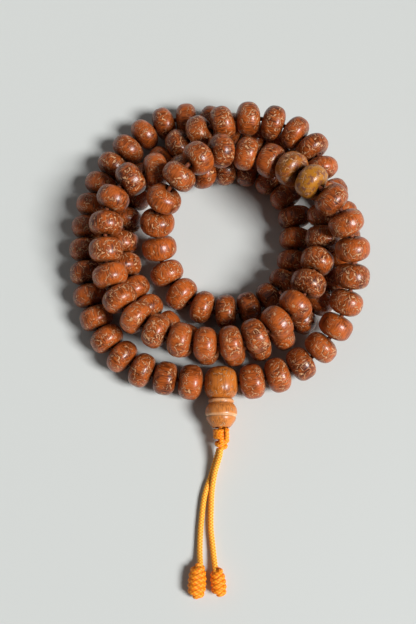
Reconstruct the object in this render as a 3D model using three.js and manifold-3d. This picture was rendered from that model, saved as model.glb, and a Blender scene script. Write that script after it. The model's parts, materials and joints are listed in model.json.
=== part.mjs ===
// Mala prayer beads: 108 barrel beads on one cord, laid down in four loops. The cord's two ends meet
// inside a guru bead, run out through a cap bead and a collar knot, and go on as two braided tails,
// each with an end knot. Millimetres, +Z up. The surface that the mala lies on is z = 0.

import * as THREE from "three";
import { mergeVertices } from "three/addons/utils/BufferGeometryUtils.js";
import Module from "manifold-3d";

const wasm = await Module();
wasm.setup();

// Beads
const BEAD_COUNT = 108;
const BEAD_RADIUS = 5;
const BEAD_SIDES = 10;
const BORE_RADIUS = 1.1;
const BEAD_END_GAP = 0.5;
const JOIN_RADIUS = 1.9;
const FLAT_RATIO = Math.cos(Math.PI / BEAD_SIDES);

// A bead's outline from its bore to its equator: radius as a share of BEAD_RADIUS (the bore's is its
// own), and distance from the middle as a share of half its thickness
const BEAD_OUTLINE = [
  [BORE_RADIUS / BEAD_RADIUS, 1],
  [0.78, 0.72],
  [1, 0.3],
];

// Cord
const STRING_RADIUS = 0.65;
const TAIL_RADIUS = 0.75;
const CORD_SIDES = 8;
const FACE_GAP = 0.3;

// Guru bead, cap bead and knots
const GURU = new THREE.Vector3(3.6, -21.5, 4.6);
const GURU_RADIUS = 4.75;
const GURU_HALF_LENGTH = 4.8;
const GURU_SIDES = 12;
const EXIT_BORE_RADIUS = 1.75;
const STRAND_OFFSET = 0.75;
const CAP_TOP = 4.4;
const CAP_LENGTH = 7.8;
const CUP_DEPTH = 0.75;
const KNOT_SIDES = 10;
const COLLAR_LENGTH = 5.6;
const COLLAR_TILT = 0.17;
const COLLAR_DROP = 0.2;

// The lay of the strand: the middle of every third bead, from one side of the guru bead round four
// loops to its other side
const LAY = [
  // first loop, on the surface
  [-18.5, -19, 5], [-32, -4.5, 5], [-35, 15.5, 5], [-31.5, 35, 5], [-18, 50, 5],
  [1, 55, 5], [21, 47.5, 5], [36.5, 33, 5], [38, 12.5, 5],
  // second loop, on the surface inside the first, then up over the start of the first
  [26.5, -5, 5], [6.5, -12.5, 5], [-12.5, -5.5, 5], [-24, 13, 5], [-23.5, 34, 6],
  [-9, 47.5, 12.5], [11.5, 54, 13.5], [30.5, 44, 13.5], [33, 25.5, 12],
  // third loop, on top of the second, then down to the surface
  [28.5, 4.5, 13.5], [13, -10.5, 13.5], [-7, -11.5, 13.5], [-24, 0.5, 13.5], [-27.5, 21.5, 13.5],
  [-15.5, 40, 7.5], [5.5, 45, 5], [22.5, 33, 5],
  // fourth loop, the innermost, then up over the others and down to the guru bead
  [26, 13, 5], [12.5, 0, 5], [-7, 3, 5], [-16, 23.5, 9], [-5, 41.5, 19], [16.5, 40, 17],
  [34.5, 27.5, 19], [39.5, 6, 14], [30, -12.5, 10], [11, -21.5, 5],
];

// Beads that are joined into one solid each: first and last bead of every run
const RUNS = [[1, 8], [9, 17], [18, 25], [26, 33], [34, 41], [52, 55], [75, 84], [85, 93]];

// How the strand settles
const PITCH_LIMITS = [6.6, 7.9];
const PITCH_SPREAD = 2;
const SETTLE_PASSES = 600;
const SETTLE_FALL = 0.1;
const SETTLE_PULL = 0.08;
const SETTLED_SHARE = 0.75;
const CLEARANCE = 0.35;
const MOST_BEND = 0.3;
const REACH_LIMIT = 18;

// The tails, relative to the guru bead's middle in x and y: hand-laid points from the collar knot
const TAIL_LEFT = [
  [-0.9, -18.85, 2.45], [-1.1, -19.6, 2.1], [-1.36, -20.4, 1.7], [-1.62, -21.2, 1.36], [-1.95, -22.2, 1.08],
  [-2.5, -24, 0.87], [-3.17, -26, 0.85], [-3.9, -28, 0.85], [-4.55, -30.3, 0.85], [-5, -33, 0.85],
  [-5.33, -36, 0.85], [-5.6, -39, 0.85], [-5.77, -42, 0.87], [-5.82, -44.3, 0.97], [-5.78, -46.3, 1.25],
  [-5.7, -47.6, 1.6], [-5.65, -48.6, 2.0],
];
const TAIL_RIGHT = [
  [-0.3, -18.85, 4.15], [-0.42, -19.6, 3.78], [-0.65, -20.4, 3.36], [-0.9, -21.2, 2.98], [-1.22, -22.2, 2.6],
  [-1.73, -24, 2.27], [-2.12, -26, 2.06], [-2.35, -27.3, 1.75], [-2.5, -28.5, 1.2], [-2.64, -30.3, 0.88],
  [-2.76, -33, 0.85], [-2.87, -36.3, 0.85], [-2.82, -39.3, 0.85], [-2.53, -42.2, 0.87], [-2.24, -44.8, 0.97],
  [-2, -46.9, 1.2], [-1.8, -48.4, 1.5], [-1.65, -49.6, 1.8],
];
const TAIL_STEPS = 16;
const KNOT_LIFT = 0.02;
const END_KNOTS = {
  end_knot_left: { tail: TAIL_LEFT, aside: -0.6, radius: 2.45, length: 8.3, turn: 0.06 },
  end_knot_right: { tail: TAIL_RIGHT, aside: 0.35, radius: 2.1, length: 7, turn: -0.12 },
};

const MERGE_DISTANCE = 1e-4;
const UP = new THREE.Vector3(0, 0, 1);

const SEED = { color: 0x8a4a24, roughness: 0.38, metalness: 0 };
const GURU_SEED = { color: 0xa8642f, roughness: 0.35, metalness: 0 };
const CAP_SEED = { color: 0xc07a3a, roughness: 0.4, metalness: 0 };
const NYLON = { color: 0xf58a1e, roughness: 0.6, metalness: 0 };

function addMesh(group, name, geometry, look) {
  const mesh = new THREE.Mesh(geometry, new THREE.MeshStandardMaterial(look));
  mesh.name = name;
  group.add(mesh);
  return mesh;
}

function toSolid(geometry) {
  const bare = geometry.clone();
  bare.deleteAttribute("normal");
  bare.deleteAttribute("uv");
  const merged = mergeVertices(bare, MERGE_DISTANCE);
  return new wasm.Manifold(new wasm.Mesh({
    numProp: 3,
    vertProperties: new Float32Array(merged.attributes.position.array),
    triVerts: new Uint32Array(merged.index.array),
  }));
}

function toGeometry(solid) {
  const mesh = solid.getMesh();
  const geometry = new THREE.BufferGeometry();
  geometry.setAttribute("position", new THREE.BufferAttribute(mesh.vertProperties, 3));
  geometry.setIndex(new THREE.BufferAttribute(mesh.triVerts, 1));
  return geometry;
}

// A solid of revolution about Y from [radius, y] points, turned so that one flat side faces down
function revolve(points, sides) {
  const outline = points.map(([radius, y]) => new THREE.Vector2(radius, y));
  return new THREE.LatheGeometry(outline, sides, Math.PI / sides);
}

// ---- The strand

// The ends of the straight piece of cord in each bead, as first laid: bead n lies between point n - 1
// and point n, and the first and last points are the guru bead's two side openings
function laidPoints() {
  const middles = [GURU, ...LAY.map((place) => new THREE.Vector3(...place))];
  const route = new THREE.CatmullRomCurve3(middles, false, "catmullrom");
  const opening = GURU_RADIUS + BEAD_END_GAP / 2;
  const points = [GURU.clone().add(new THREE.Vector3(-opening, 0, 0))];
  for (let n = 1; n < BEAD_COUNT; n++) {
    points.push(route.getPoint((n + 0.5) / BEAD_COUNT));
  }
  points.push(GURU.clone().add(new THREE.Vector3(opening, 0, 0)));
  return points;
}

// The length of cord that each bead takes up: the laid spacing, evened out over its neighbours
function beadPitches(points) {
  return points.slice(1).map((_, bead) => {
    const first = Math.max(bead - PITCH_SPREAD, 1);
    const last = Math.min(bead + PITCH_SPREAD, BEAD_COUNT - 2);
    let total = 0;
    for (let n = first; n <= last; n++) {
      total += points[n].distanceTo(points[n + 1]);
    }
    return Math.min(Math.max(total / (last - first + 1), PITCH_LIMITS[0]), PITCH_LIMITS[1]);
  });
}

// How far a bead reaches from its middle in a direction that makes this cosine with its axis
function beadReach(halfThickness, cosine, radius) {
  const along = Math.abs(cosine);
  const across = Math.sqrt(Math.max(0, 1 - along * along));
  const reaches = BEAD_OUTLINE.map(([r, y]) => r * radius * across + y * halfThickness * along);
  return Math.max(...reaches);
}

// Lets the laid strand settle: it falls, keeps every bead's length of cord, bends only so far, and
// pushes beads that touch apart. The last passes only push apart.
function settle(laid, pitches) {
  const points = laid.map((point) => point.clone());
  const last = points.length - 1;
  const step = new THREE.Vector3();

  const move = (n, direction, amount) => {
    if (n > 0 && n < last) {
      points[n].addScaledVector(direction, amount);
    }
  };
  const bead = (n) => {
    const middle = points[n].clone().add(points[n + 1]).multiplyScalar(0.5);
    const axis = points[n + 1].clone().sub(points[n]).normalize();
    return { middle, axis, half: (pitches[n] - BEAD_END_GAP) / 2 };
  };

  const pairs = [];
  for (let a = 0; a < last; a++) {
    for (let b = a + 2; b < last; b++) {
      if (laid[a].distanceTo(laid[b]) < REACH_LIMIT) {
        pairs.push([a, b]);
      }
    }
  }

  const fallAndPull = () => {
    for (let n = 1; n < last; n++) {
      points[n].x += (laid[n].x - points[n].x) * SETTLE_PULL;
      points[n].y += (laid[n].y - points[n].y) * SETTLE_PULL;
      points[n].z -= SETTLE_FALL;
    }
  };
  const keepLengths = () => {
    for (let n = 0; n < last; n++) {
      step.subVectors(points[n + 1], points[n]);
      const share = (step.length() - pitches[n]) / step.length() / 2;
      move(n, step, share);
      move(n + 1, step, -share);
    }
  };
  const limitBends = () => {
    for (let n = 0; n < last - 1; n++) {
      step.subVectors(points[n + 2], points[n]);
      const least = (pitches[n] + pitches[n + 1]) * Math.cos(MOST_BEND / 2);
      if (step.length() < least) {
        const share = (least - step.length()) / step.length() / 4;
        move(n, step, -share);
        move(n + 2, step, share);
      }
    }
  };
  const pushApart = () => {
    for (const [a, b] of pairs) {
      const one = bead(a);
      const other = bead(b);
      step.subVectors(other.middle, one.middle);
      const distance = step.length();
      if (distance > 2 * BEAD_RADIUS + CLEARANCE) {
        continue;
      }
      step.divideScalar(distance);
      const need = beadReach(one.half, one.axis.dot(step), BEAD_RADIUS)
        + beadReach(other.half, other.axis.dot(step), BEAD_RADIUS) + CLEARANCE;
      if (distance < need) {
        const push = (need - distance) / 2;
        move(a, step, -push);
        move(a + 1, step, -push);
        move(b, step, push);
        move(b + 1, step, push);
      }
    }
  };
  const clearGuru = () => {
    for (let n = 1; n < last - 1; n++) {
      const one = bead(n);
      step.subVectors(one.middle, GURU);
      const need = GURU_HALF_LENGTH + BEAD_RADIUS + CLEARANCE;
      if (step.length() < need) {
        const share = (need - step.length()) / step.length();
        move(n, step, share);
        move(n + 1, step, share);
      }
    }
  };
  const keepAboveSurface = () => {
    for (let n = 0; n < last; n++) {
      const one = bead(n);
      const lift = beadReach(one.half, one.axis.z, BEAD_RADIUS * FLAT_RATIO) - one.middle.z;
      if (lift > 0) {
        move(n, UP, lift);
        move(n + 1, UP, lift);
      }
    }
  };

  for (let pass = 0; pass < SETTLE_PASSES; pass++) {
    if (pass < SETTLE_PASSES * SETTLED_SHARE) {
      fallAndPull();
    }
    keepLengths();
    limitBends();
    pushApart();
    clearGuru();
    keepAboveSurface();
  }
  return points;
}

// ---- The pieces

// Turns Y to an axis, and keeps the flat side that faces down as level as the axis lets it be
function alongAxis(axis, middle) {
  const down = UP.clone().addScaledVector(axis, -axis.dot(UP)).normalize().negate();
  const side = new THREE.Vector3().crossVectors(axis, down);
  return new THREE.Matrix4().makeBasis(side, axis, down).setPosition(middle);
}

function beadGeometry(thickness) {
  const half = (thickness - BEAD_END_GAP) / 2;
  const lower = BEAD_OUTLINE.map(([radius, y]) => [radius * BEAD_RADIUS, -y * half]);
  const upper = BEAD_OUTLINE.map(([radius, y]) => [radius * BEAD_RADIUS, y * half]).reverse();
  return revolve([...lower, ...upper, lower[0]], BEAD_SIDES);
}

function beadPlace(points, number) {
  const axis = points[number].clone().sub(points[number - 1]).normalize();
  const middle = points[number].clone().add(points[number - 1]).multiplyScalar(0.5);
  return alongAxis(axis, middle);
}

function addSingleBead(group, points, pitches, number) {
  const name = `bead_${String(number).padStart(3, "0")}`;
  const mesh = addMesh(group, name, beadGeometry(pitches[number - 1]), SEED);
  mesh.applyMatrix4(beadPlace(points, number));
}

// Where the cord leaves one bead for the next
function joinPlace(points, number) {
  const axis = points[number + 1].clone().sub(points[number - 1]).normalize();
  return alongAxis(axis, points[number]);
}

// A run of beads as one solid: a closed outline of [radius, y, place] round each bead and each join,
// and back along the bore, whose rings are turned one by one and put in their places
function addRun(group, points, pitches, first, last) {
  const half = (number) => (pitches[number - 1] - BEAD_END_GAP) / 2;
  const firstPlace = beadPlace(points, first);
  const lastPlace = beadPlace(points, last);
  const outline = [[BORE_RADIUS, -half(first), firstPlace]];
  for (let number = first; number <= last; number++) {
    const place = beadPlace(points, number);
    const [, shoulder, equator] = BEAD_OUTLINE.map(([r, y]) => [r * BEAD_RADIUS, y * half(number)]);
    outline.push([shoulder[0], -shoulder[1], place], [equator[0], -equator[1], place]);
    outline.push([equator[0], equator[1], place], [shoulder[0], shoulder[1], place]);
    if (number < last) {
      outline.push([JOIN_RADIUS, 0, joinPlace(points, number)]);
    }
  }
  outline.push([BORE_RADIUS, half(last), lastPlace]);
  for (let number = last - 1; number >= first; number--) {
    outline.push([BORE_RADIUS, 0, joinPlace(points, number)]);
  }
  outline.push(outline[0]);

  const run = revolve(outline, BEAD_SIDES);
  const corners = run.attributes.position;
  const corner = new THREE.Vector3();
  for (let n = 0; n < corners.count; n++) {
    corner.fromBufferAttribute(corners, n).applyMatrix4(outline[n % outline.length][2]);
    corners.setXYZ(n, ...corner);
  }
  const name = `bead_run_${String(first).padStart(3, "0")}_${String(last).padStart(3, "0")}`;
  addMesh(group, name, run, SEED);
}

// A barrel with two bores that meet: one through its sides for the strand, and a wider one out of
// its front for both ends of the cord
function addGuru(group) {
  const outline = [
    [0, -1], [0.55, -0.95], [0.88, -0.64], [1, -0.25], [1, 0.25], [0.88, 0.64], [0.55, 0.95], [0, 1],
  ].map(([radius, y]) => [radius * GURU_RADIUS, y * GURU_HALF_LENGTH]);
  const side = new THREE.CylinderGeometry(BORE_RADIUS, BORE_RADIUS, 3 * GURU_RADIUS, BEAD_SIDES);
  side.rotateZ(Math.PI / 2);
  const exitLength = 2 * GURU_HALF_LENGTH;
  const exit = new THREE.CylinderGeometry(EXIT_BORE_RADIUS, EXIT_BORE_RADIUS, exitLength, GURU_SIDES);
  exit.translate(0, BORE_RADIUS - exitLength / 2, 0);
  const guru = toSolid(revolve(outline, GURU_SIDES)).subtract(toSolid(side)).subtract(toSolid(exit));
  addMesh(group, "guru_bead", toGeometry(guru), GURU_SEED).position.copy(GURU);
}

// The cap bead: a cupped rim under the guru bead, a neck groove, a round belly and a narrow foot.
// Its outline runs from the foot up the outside and back down the bore.
function addCap(group) {
  const outline = [
    [EXIT_BORE_RADIUS, -CAP_LENGTH], [2.6, -CAP_LENGTH], [3.9, -5.3], [4.35, -3.7], [4.1, -2.4],
    [3.35, -1.2], [3.45, -0.5], [3, 0], [EXIT_BORE_RADIUS, -CUP_DEPTH],
  ];
  const cap = addMesh(group, "guru_cap", revolve([...outline, outline[0]], GURU_SIDES), CAP_SEED);
  cap.position.set(GURU.x, GURU.y - CAP_TOP, GURU.z);
}

// Wrapped turns in two blocks, modelled as a plain stepped barrel that leans down to the surface
function addCollarKnot(group) {
  const outline = [
    [0, -COLLAR_LENGTH], [1.5, -COLLAR_LENGTH], [1.85, -5.1], [1.85, -3.9], [1.6, -3.4],
    [2.3, -3.1], [2.3, -0.5], [1.9, 0], [0, 0],
  ];
  const knot = addMesh(group, "collar_knot", revolve(outline, KNOT_SIDES), NYLON);
  knot.position.set(GURU.x, GURU.y - CAP_TOP - CAP_LENGTH - 2 * FACE_GAP, GURU.z - COLLAR_DROP);
  knot.rotation.x = COLLAR_TILT;
}

// A path through corners whose evenly spaced points are the corners themselves
class CornerPath extends THREE.Curve {
  constructor(corners) {
    super();
    this.corners = corners;
  }

  getPoint(t) {
    const place = t * (this.corners.length - 1);
    const n = Math.min(Math.floor(place), this.corners.length - 2);
    return this.corners[n].clone().lerp(this.corners[n + 1], place - n);
  }

  getPointAt(t) {
    return this.getPoint(t);
  }

  getTangentAt(t) {
    return this.getTangent(t);
  }
}

function circle(radius, sides) {
  const shape = new THREE.Shape();
  for (let n = 0; n < sides; n++) {
    const angle = (2 * Math.PI * n) / sides;
    const corner = [radius * Math.cos(angle), radius * Math.sin(angle)];
    if (n === 0) {
      shape.moveTo(...corner);
    } else {
      shape.lineTo(...corner);
    }
  }
  return shape;
}

function tube(path, radius, steps) {
  const settings = { extrudePath: path, steps, bevelEnabled: false };
  return new THREE.ExtrudeGeometry(circle(radius, CORD_SIDES), settings);
}

// The cord from the collar knot through the cap and the guru bead, round all the beads and back
function addString(group, points) {
  const start = GURU.y - CAP_TOP - CAP_LENGTH;
  const left = new THREE.Vector3(GURU.x - STRAND_OFFSET, start, GURU.z);
  const right = new THREE.Vector3(GURU.x + STRAND_OFFSET, start, GURU.z);
  const corners = [left, left.clone().setY(GURU.y), ...points, right.clone().setY(GURU.y), right];
  const path = new CornerPath(corners);
  addMesh(group, "bead_string", tube(path, STRING_RADIUS, corners.length - 1), NYLON);
}

function addTail(group, name, places) {
  const route = places.map(([x, y, z]) => new THREE.Vector3(GURU.x + x, GURU.y + y, z));
  addMesh(group, name, tube(new THREE.CatmullRomCurve3(route), TAIL_RADIUS, TAIL_STEPS), NYLON);
}

function addEndKnot(group, name, { tail, aside, radius, length, turn }) {
  const outline = [
    [0, -1], [0.35, -1], [0.8, -0.9], [1, -0.7], [1, -0.25], [0.75, -0.03], [0.5, 0], [0, 0],
  ].map(([across, along]) => [across * radius, along * length]);
  const knot = addMesh(group, name, revolve(outline, KNOT_SIDES), NYLON);
  const [x, y] = tail.at(-1);
  const height = radius * Math.cos(Math.PI / KNOT_SIDES) + KNOT_LIFT;
  knot.position.set(GURU.x + x + aside, GURU.y + y - FACE_GAP, height);
  knot.rotation.z = -turn;
}

// ---- The mala

const laid = laidPoints();
const pitches = beadPitches(laid);
const points = settle(laid, pitches);
const inRun = (number) => RUNS.some(([first, last]) => number >= first && number <= last);

const strand = new THREE.Group();
addGuru(strand);
addCap(strand);
addString(strand, points);
for (const [first, last] of RUNS) {
  addRun(strand, points, pitches, first, last);
}
for (let number = 1; number <= BEAD_COUNT; number++) {
  if (!inRun(number)) {
    addSingleBead(strand, points, pitches, number);
  }
}

// The origin is under the middle of the strand, without the knots and tails
const box = new THREE.Box3().setFromObject(strand, true);
addCollarKnot(strand);
addTail(strand, "tail_left", TAIL_LEFT);
addTail(strand, "tail_right", TAIL_RIGHT);
for (const [name, knot] of Object.entries(END_KNOTS)) {
  addEndKnot(strand, name, knot);
}
const middle = box.getCenter(new THREE.Vector3());
strand.position.set(-middle.x, -middle.y, -box.min.z);

const mala = new THREE.Group();
mala.add(strand);
export default mala;
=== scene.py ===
"""A mala of 108 polished seed beads on one braided nylon cord, laid down in four loops, with its
guru bead, its cap bead, a collar knot, two tails and their end knots. Lengths are in metres."""

import json
import math
import random

import bmesh
import bpy
from bpy.props import FloatProperty, FloatVectorProperty, IntProperty, PointerProperty
from mathutils import Matrix, Vector, noise


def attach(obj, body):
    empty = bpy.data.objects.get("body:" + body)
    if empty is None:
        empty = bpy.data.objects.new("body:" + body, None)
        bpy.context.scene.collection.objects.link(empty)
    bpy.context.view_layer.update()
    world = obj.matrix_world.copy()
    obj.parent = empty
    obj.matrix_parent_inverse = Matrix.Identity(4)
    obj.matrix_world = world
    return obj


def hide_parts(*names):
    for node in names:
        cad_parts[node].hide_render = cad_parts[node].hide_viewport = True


bl_info = {
    "name": "Mala Prayer Beads",
    "version": (1, 0, 0),
    "blender": (4, 5, 0),
    "location": "View3D > Sidebar > Mala",
    "description": "Builds a mala of seed beads with its guru bead, knots and tails",
    "category": "Add Mesh",
}

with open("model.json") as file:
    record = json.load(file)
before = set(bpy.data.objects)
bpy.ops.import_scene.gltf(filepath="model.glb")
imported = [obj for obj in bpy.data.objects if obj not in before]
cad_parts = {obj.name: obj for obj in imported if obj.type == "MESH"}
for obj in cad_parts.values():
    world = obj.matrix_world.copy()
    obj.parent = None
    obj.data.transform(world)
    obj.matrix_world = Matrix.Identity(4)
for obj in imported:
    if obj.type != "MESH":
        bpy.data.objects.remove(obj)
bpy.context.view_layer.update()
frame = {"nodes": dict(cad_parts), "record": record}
node_bodies = {
    node: body
    for body, nodes in frame["record"]["behaviour"]["bodies"].items()
    for node in nodes
}

MM = 0.001
STRAND = "strand"
BEAD_COUNT = 108
# The beads are rounder than the CAD beads' flats, so the surface lies this much lower, in mm
FLOOR_DROP = 0.15

# The tails' points in millimetres: x and y from the guru bead's middle, z from the floor
TAILS = {
    "left": [
        (-0.9, -18.85, 2.45), (-1.1, -19.6, 2.1), (-1.36, -20.4, 1.7), (-1.62, -21.2, 1.36),
        (-1.95, -22.2, 1.08), (-2.5, -24, 0.87), (-3.17, -26, 0.85), (-3.9, -28, 0.85),
        (-4.55, -30.3, 0.85), (-5, -33, 0.85), (-5.33, -36, 0.85), (-5.6, -39, 0.85),
        (-5.77, -42, 0.87), (-5.82, -44.3, 0.97), (-5.78, -46.3, 1.25), (-5.7, -47.6, 1.6),
        (-5.65, -48.6, 2.0),
    ],
    "right": [
        (-0.3, -18.85, 4.15), (-0.42, -19.6, 3.78), (-0.65, -20.4, 3.36), (-0.9, -21.2, 2.98),
        (-1.22, -22.2, 2.6), (-1.73, -24, 2.27), (-2.12, -26, 2.06), (-2.35, -27.3, 1.75),
        (-2.5, -28.5, 1.2), (-2.64, -30.3, 0.88), (-2.76, -33, 0.85), (-2.87, -36.3, 0.85),
        (-2.82, -39.3, 0.85), (-2.53, -42.2, 0.87), (-2.24, -44.8, 0.97), (-2, -46.9, 1.2),
        (-1.8, -48.4, 1.5), (-1.65, -49.6, 1.8),
    ],
}


def linear(hex_colour):
    """An sRGB hex colour as linear red, green, blue and alpha."""
    levels = [int(hex_colour[n : n + 2], 16) / 255 for n in (1, 3, 5)]
    return (*[v / 12.92 if v <= 0.04045 else ((v + 0.055) / 1.055) ** 2.4 for v in levels], 1)


# ---- Settings


class SeedSettings(bpy.types.PropertyGroup):
    """Sizes and colours of the seed beads."""

    radius: FloatProperty(
        name="Bead radius", description="Radius of the largest beads", default=4.93 * MM,
        unit="LENGTH", subtype="DISTANCE",
    )
    size_spread: FloatProperty(
        name="Size spread", description="How much smaller the smallest beads are", default=0.055,
        subtype="FACTOR",
    )
    end_gap: FloatProperty(
        name="End gap", description="Gap between the ends of two beads", default=0.1 * MM,
        unit="LENGTH", subtype="DISTANCE",
    )
    bore: FloatProperty(
        name="Bore radius", description="Radius of the drilled hole", default=1.08 * MM,
        unit="LENGTH", subtype="DISTANCE",
    )
    fullness: FloatProperty(
        name="Fullness", description="2 is an ellipse, more is a fuller barrel", default=2.55,
    )
    unevenness: FloatProperty(
        name="Unevenness", description="How far the turned surface strays", default=0.09 * MM,
        unit="LENGTH", subtype="DISTANCE",
    )
    sides: IntProperty(name="Sides", description="Faces round a bead", default=40)
    light: FloatVectorProperty(
        name="Light seed", description="Colour of the palest seed skin", size=4, subtype="COLOR",
        default=linear("#B45820"),
    )
    dark: FloatVectorProperty(
        name="Dark seed", description="Colour of the darkest seed skin", size=4, subtype="COLOR",
        default=linear("#461904"),
    )
    mark: FloatVectorProperty(
        name="Marks", description="Colour of the fine pale squiggles", size=4, subtype="COLOR",
        default=linear("#DCA878"),
    )


class CordSettings(bpy.types.PropertyGroup):
    """Sizes and colours of the braided cord."""

    strand_radius: FloatProperty(
        name="Strand cord", description="Radius of the cord in the beads", default=0.6 * MM,
        unit="LENGTH", subtype="DISTANCE",
    )
    tail_radius: FloatProperty(
        name="Tail cord", description="Radius of the tails", default=0.75 * MM, unit="LENGTH",
        subtype="DISTANCE",
    )
    pick: FloatProperty(
        name="Pick", description="Length of one crossing of the braid", default=0.42 * MM,
        unit="LENGTH", subtype="DISTANCE",
    )
    relief: FloatProperty(
        name="Relief", description="Depth of the braid", default=0.14 * MM, unit="LENGTH",
        subtype="DISTANCE",
    )
    # The cord's colours are painted light and shade: bright, and tight for the knots, on the tops
    # of the yarns, and deep in the hollows between them
    bright: FloatVectorProperty(
        name="Nylon", description="Colour of the cord", size=4, subtype="COLOR",
        default=linear("#FFC640"),
    )
    tight: FloatVectorProperty(
        name="Nylon, pulled tight", description="Colour of the knots", size=4, subtype="COLOR",
        default=linear("#FFA41C"),
    )
    deep: FloatVectorProperty(
        name="Nylon, deep", description="Colour between its yarns", size=4, subtype="COLOR",
        default=linear("#EE680C"),
    )


class StageSettings(bpy.types.PropertyGroup):
    """The floor, the light and the camera."""

    floor: FloatVectorProperty(
        name="Floor", description="Colour of the floor", size=4, subtype="COLOR",
        default=linear("#C6C8C3"),
    )
    key_power: FloatProperty(
        name="Key light", description="Strength in watts per square metre", default=4.75,
    )
    sky_power: FloatProperty(name="Sky", description="Strength of the soft light", default=0.055)
    lens: FloatProperty(
        name="Lens", description="Focal length in millimetres", default=58.6, unit="CAMERA",
    )
    elevation: FloatProperty(
        name="Elevation", description="Camera angle above the floor", default=math.radians(76),
        unit="ROTATION", subtype="ANGLE",
    )
    distance: FloatProperty(
        name="Distance", description="From the camera to the floor", default=0.29, unit="LENGTH",
        subtype="DISTANCE",
    )


# ---- Node trees and meshes

# The kinds of node that come up again and again. A map range takes the range from input 1 to
# input 2 to 0 and 1, unless inputs 3 and 4 say otherwise.
MATH = "ShaderNodeMath"
VECTOR_MATH = "ShaderNodeVectorMath"
MAP_RANGE = "ShaderNodeMapRange"
MIX = "ShaderNodeMix"
NOISE = "ShaderNodeTexNoise"
ATTRIBUTE = "ShaderNodeAttribute"
STORE = "GeometryNodeStoreNamedAttribute"


def add(tree, kind, inputs=None, **settings):
    """Adds a node with its settings. An input is a value or another node's output."""
    made = tree.nodes.new(kind)
    for name, value in settings.items():
        setattr(made, name, value)
    for key, value in (inputs or {}).items():
        if isinstance(value, bpy.types.NodeSocket):
            tree.links.new(value, made.inputs[key])
        else:
            made.inputs[key].default_value = value
    return made.outputs[0] if made.outputs else made


def new_tree(name, sockets):
    """A geometry tree with these inputs, each a kind and a default, and the inputs' sockets."""
    tree = bpy.data.node_groups.new(name, "GeometryNodeTree")
    tree.interface.new_socket("Geometry", in_out="OUTPUT", socket_type="NodeSocketGeometry")
    for title, (kind, default) in sockets.items():
        socket = tree.interface.new_socket(title, in_out="INPUT", socket_type="NodeSocket" + kind)
        if default is not None:
            socket.default_value = default
    return tree, tree.nodes.new("NodeGroupInput").outputs


def finish_tree(tree, geometry, material):
    """Smooth shading, real geometry and its material at the end of a tree."""
    smooth = add(tree, "GeometryNodeSetShadeSmooth", {0: geometry})
    real = add(tree, "GeometryNodeRealizeInstances", {0: smooth})
    painted = add(tree, "GeometryNodeSetMaterial", {"Geometry": real, "Material": material})
    add(tree, "NodeGroupOutput", {0: painted})


def grow(name, tree, values, data=None):
    """A plain mesh piece from a node tree, whose inputs are set by their identifiers."""
    source = bpy.data.objects.new("source", data or bpy.data.meshes.new("source"))
    bpy.context.scene.collection.objects.link(source)
    modifier = source.modifiers.new("tree", "NODES")
    modifier.node_group = tree
    for socket in tree.interface.items_tree:
        if socket.in_out == "INPUT" and socket.name in values:
            modifier[socket.identifier] = values[socket.name]
    depsgraph = bpy.context.evaluated_depsgraph_get()
    mesh = bpy.data.meshes.new_from_object(
        source.evaluated_get(depsgraph), preserve_all_data_layers=True, depsgraph=depsgraph
    )
    bpy.data.objects.remove(source)
    return as_piece(name, mesh)


def as_piece(name, mesh):
    """An object at the origin for a mesh that is already in its place."""
    if not mesh.polygons:
        raise RuntimeError(f"{name} has no faces")
    mesh.name = name
    piece = bpy.data.objects.new(name, mesh)
    bpy.context.scene.collection.objects.link(piece)
    return piece


def hand_over(piece, body, slot, *nodes):
    """The piece rides on its body and stands for the nodes. The slot is not used."""
    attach(piece, body)
    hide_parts(*nodes)


def eased(value, low, high):
    """0 at low, 1 at high, and smooth in between."""
    share = min(max((value - low) / (high - low), 0), 1)
    return share * share * (3 - 2 * share)


# ---- The cord's route through the beads


def cord_corners():
    """The middle of each ring of the CAD cord's mesh, from its left end to its right end."""
    mesh = bmesh.new()
    mesh.from_mesh(frame["nodes"]["bead_string"].data)
    bmesh.ops.remove_doubles(mesh, verts=mesh.verts, dist=1e-6)
    mesh.verts.index_update()
    front = min(vertex.co.y for vertex in mesh.verts)
    ends = [vertex for vertex in mesh.verts if vertex.co.y < front + 1e-5]
    middle = sum(vertex.co.x for vertex in ends) / len(ends)
    ring = {vertex for vertex in ends if vertex.co.x < middle}
    corners = []
    seen = set()
    while ring:
        # Added up in one order, so that every run gives the same result to the last digit
        in_order = sorted(ring, key=lambda vertex: vertex.index)
        corners.append(sum((vertex.co for vertex in in_order), Vector()) / len(ring))
        seen |= ring
        ring = {edge.other_vert(vertex) for vertex in ring for edge in vertex.link_edges} - seen
    mesh.free()
    if len(corners) != BEAD_COUNT + 5:
        raise RuntimeError(f"the CAD cord has {len(corners)} corners")
    return corners


corners = cord_corners()
# Bead n lies between point n - 1 and point n, and the first and last are the guru bead's openings
points = corners[2:-2]
guru = (points[0] + points[-1]) / 2


def smooth_route(places, steps):
    """Points on one smooth curve through the places, with that many steps to each stretch."""
    ends = [2 * places[0] - places[1], *places, 2 * places[-1] - places[-2]]
    route = []
    for a, b, c, d in zip(ends, ends[1:], ends[2:], ends[3:]):
        for step in range(steps):
            t = step / steps
            bend = (2 * a - 5 * b + 4 * c - d) * t + (3 * b - a - 3 * c + d) * t * t
            route.append(b + (c - a + bend) * t / 2)
    return [*route, places[-1].copy()]


# ---- Materials


def new_material(name, roughness, coat=0.0, coat_roughness=0.0):
    """A material with its shader's plain numbers set on its own sockets."""
    material = bpy.data.materials.new(name)
    material.use_nodes = True
    shader = material.node_tree.nodes["Principled BSDF"]
    shader.inputs["Roughness"].default_value = roughness
    shader.inputs["Coat Weight"].default_value = coat
    shader.inputs["Coat Roughness"].default_value = coat_roughness
    return material, material.node_tree, shader


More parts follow.
